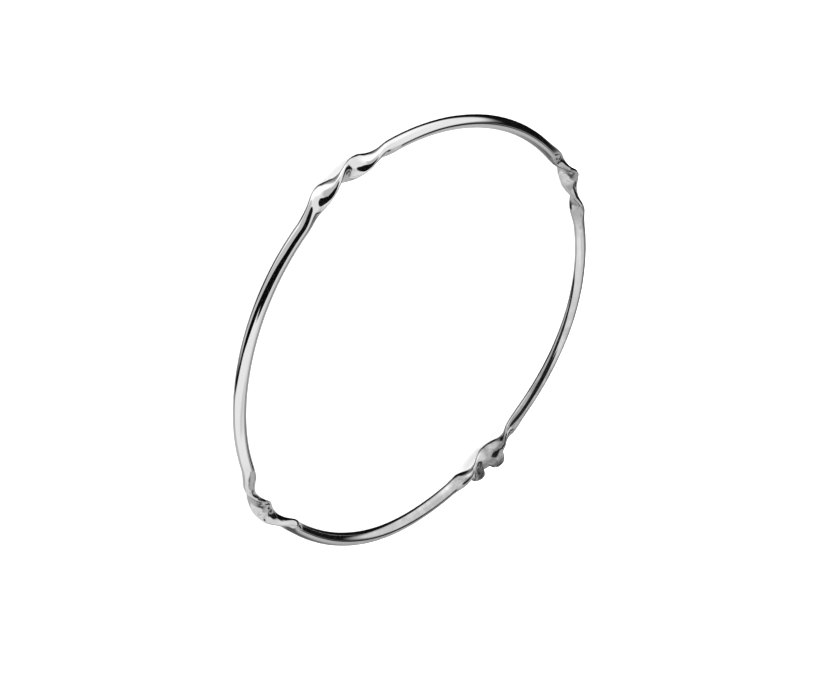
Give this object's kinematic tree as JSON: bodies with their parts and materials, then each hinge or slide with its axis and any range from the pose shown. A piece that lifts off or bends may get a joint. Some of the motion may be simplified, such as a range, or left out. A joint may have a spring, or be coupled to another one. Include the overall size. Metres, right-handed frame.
{
  "type": "twisted wire bangle",
  "caption": "Closed round bangle of thin polished silver bar, pressed flat and twisted once about itself at places around the ring.",
  "frame": {"origin": "on the floor under the middle of the ring, at the height of its lowest points", "axes": "+Z along the ring's own axis, up from the floor it lies on; -Y towards the side that the picture shows nearest; +X to the right of that side"},
  "size_m": [0.069, 0.0694, 0.0038],
  "materials": {
    "silver": "polished silver with fine handling marks"
  },
  "bodies": {
    "root": {"bangle": "silver"}
  },
  "joints": []
}
